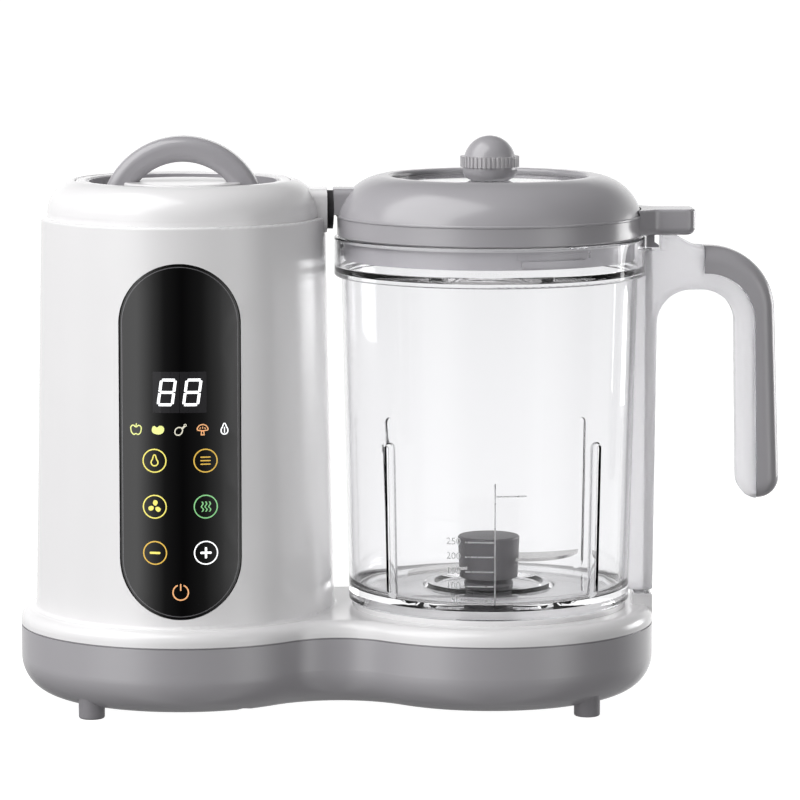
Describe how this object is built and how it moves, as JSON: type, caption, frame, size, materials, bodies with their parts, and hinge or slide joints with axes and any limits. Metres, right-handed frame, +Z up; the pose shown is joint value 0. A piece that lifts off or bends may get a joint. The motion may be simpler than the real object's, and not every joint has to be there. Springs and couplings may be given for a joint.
{
  "type": "baby food maker",
  "caption": "Counter-top steam-and-blend food maker: heating tower with touch panel and steam port beside a clear lidded blending jug on a two-lobed base.",
  "frame": {"origin": "centre of the plan outline, on the surface that the feet stand on", "axes": "+X from the tower to the jug's handle, +Y to the rear, +Z up; the control panel faces -Y"},
  "size_m": [0.2897, 0.1256, 0.2154],
  "materials": {
    "white_abs": "glossy moulded ABS",
    "grey_abs": "glossy moulded ABS",
    "pale_abs": "satin knurled ABS",
    "clear_copolyester": "clear polished copolyester",
    "frosted_copolyester": "frosted satin copolyester",
    "black_acrylic": "polished acrylic lens",
    "display_block": "dark display block with two white digits",
    "circuit_board": "green lacquered glass-fibre board",
    "black_nylon": "moulded nylon",
    "dark_nylon": "moulded nylon",
    "black_rubber": "matt moulded rubber",
    "grey_rubber": "matt moulded rubber",
    "grey_silicone": "soft silicone",
    "steel": "stainless steel",
    "zinc_plate": "zinc-plated sheet steel",
    "cast_aluminium": "plain casting",
    "bronze": "sintered bronze"
  },
  "bodies": {
    "base": {"base_tray": "grey_abs", "rubber_feet": "grey_rubber", "tray_screws": "steel", "cord_gland": "black_nylon", "deck": "white_abs", "tower_shell": "white_abs", "tower_cap": "white_abs", "control_panel": "black_acrylic", "display_module": "display_block", "control_board": "circuit_board", "touch_springs": "steel", "heating_chamber": "steel", "chamber_gasket": "grey_silicone", "heating_plate": "cast_aluminium", "thermostat": "black_nylon", "steam_port": "white_abs", "motor_bracket": "zinc_plate", "motor_can": "zinc_plate", "motor_screws": "steel", "drive_belt": "black_rubber", "power_board": "circuit_board", "spindle_carrier": "black_nylon", "spindle_bushes": "bronze", "safety_switch": "black_nylon"},
    "plunger": {"safety_plunger": "white_abs"},
    "rotor": {"motor_rotor": "steel", "drive_pulley": "black_nylon"},
    "spindle": {"spindle_shaft": "steel", "driven_pulley": "black_nylon", "drive_cup": "black_nylon"},
    "tank_lid": {"tank_lid": "white_abs", "tank_handle": "grey_abs", "tank_lid_gasket": "grey_silicone"},
    "jug": {"jug_body": "clear_copolyester", "blade_bush": "dark_nylon", "handle_core": "frosted_copolyester", "handle_grip": "grey_abs"},
    "rod": {"interlock_rod": "steel"},
    "blade": {"blades": "steel", "blade_hub": "dark_nylon", "blade_shaft": "steel", "jug_dog": "black_nylon"},
    "lid": {"lid_dome": "grey_abs", "lid_skirt": "grey_abs", "lid_tab": "grey_abs", "lid_gasket": "grey_silicone", "steam_arm": "grey_abs", "steam_seal": "black_rubber"},
    "feed_cap": {"feed_cap": "clear_copolyester", "feed_cap_gasket": "grey_silicone", "knob_lower": "grey_abs", "knob_ring": "pale_abs", "knob_upper": "grey_abs", "knob_screw": "steel"}
  },
  "joints": [
    {"name": "motor_spin", "type": "hinge", "parent": "base", "child": "rotor", "pos_m": [-0.0822, 0, 0], "axis": [0, 0, 1], "continuous": true},
    {"name": "spindle_spin", "type": "hinge", "parent": "base", "child": "spindle", "pos_m": [0.034, 0, 0], "axis": [0, 0, 1], "continuous": true},
    {"name": "tank_lid_lift", "type": "slide", "parent": "base", "child": "tank_lid", "axis": [0, 0, 1], "range_m": [0, 0.05]},
    {"name": "jug_lift", "type": "slide", "parent": "base", "child": "jug", "axis": [0, 0, 1], "range_m": [0, 0.12]},
    {"name": "blade_spin", "type": "hinge", "parent": "jug", "child": "blade", "pos_m": [0.034, 0, 0], "axis": [0, 0, 1], "continuous": true},
    {"name": "lid_twist", "type": "hinge", "parent": "jug", "child": "lid", "pos_m": [0.034, 0, 0], "axis": [0, 0, 1], "range_deg": [0, 30]},
    {"name": "feed_cap_lift", "type": "slide", "parent": "lid", "child": "feed_cap", "axis": [0, 0, 1], "range_m": [0, 0.03]},
    {"name": "rod_travel", "type": "slide", "parent": "jug", "child": "rod", "axis": [0, 0, 1], "range_m": [0, 0.0021]},
    {"name": "plunger_travel", "type": "slide", "parent": "base", "child": "plunger", "axis": [0, 0, 1], "range_m": [0, 0.0021]}
  ],
  "couplings": [
    {"joint": "spindle_spin", "follows": "motor_spin", "ratio": 0.5},
    {"joint": "blade_spin", "follows": "motor_spin", "ratio": 0.5},
    {"joint": "rod_travel", "follows": "lid_twist", "m_per_rad": 0.00382},
    {"joint": "plunger_travel", "follows": "lid_twist", "m_per_rad": 0.00382}
  ]
}
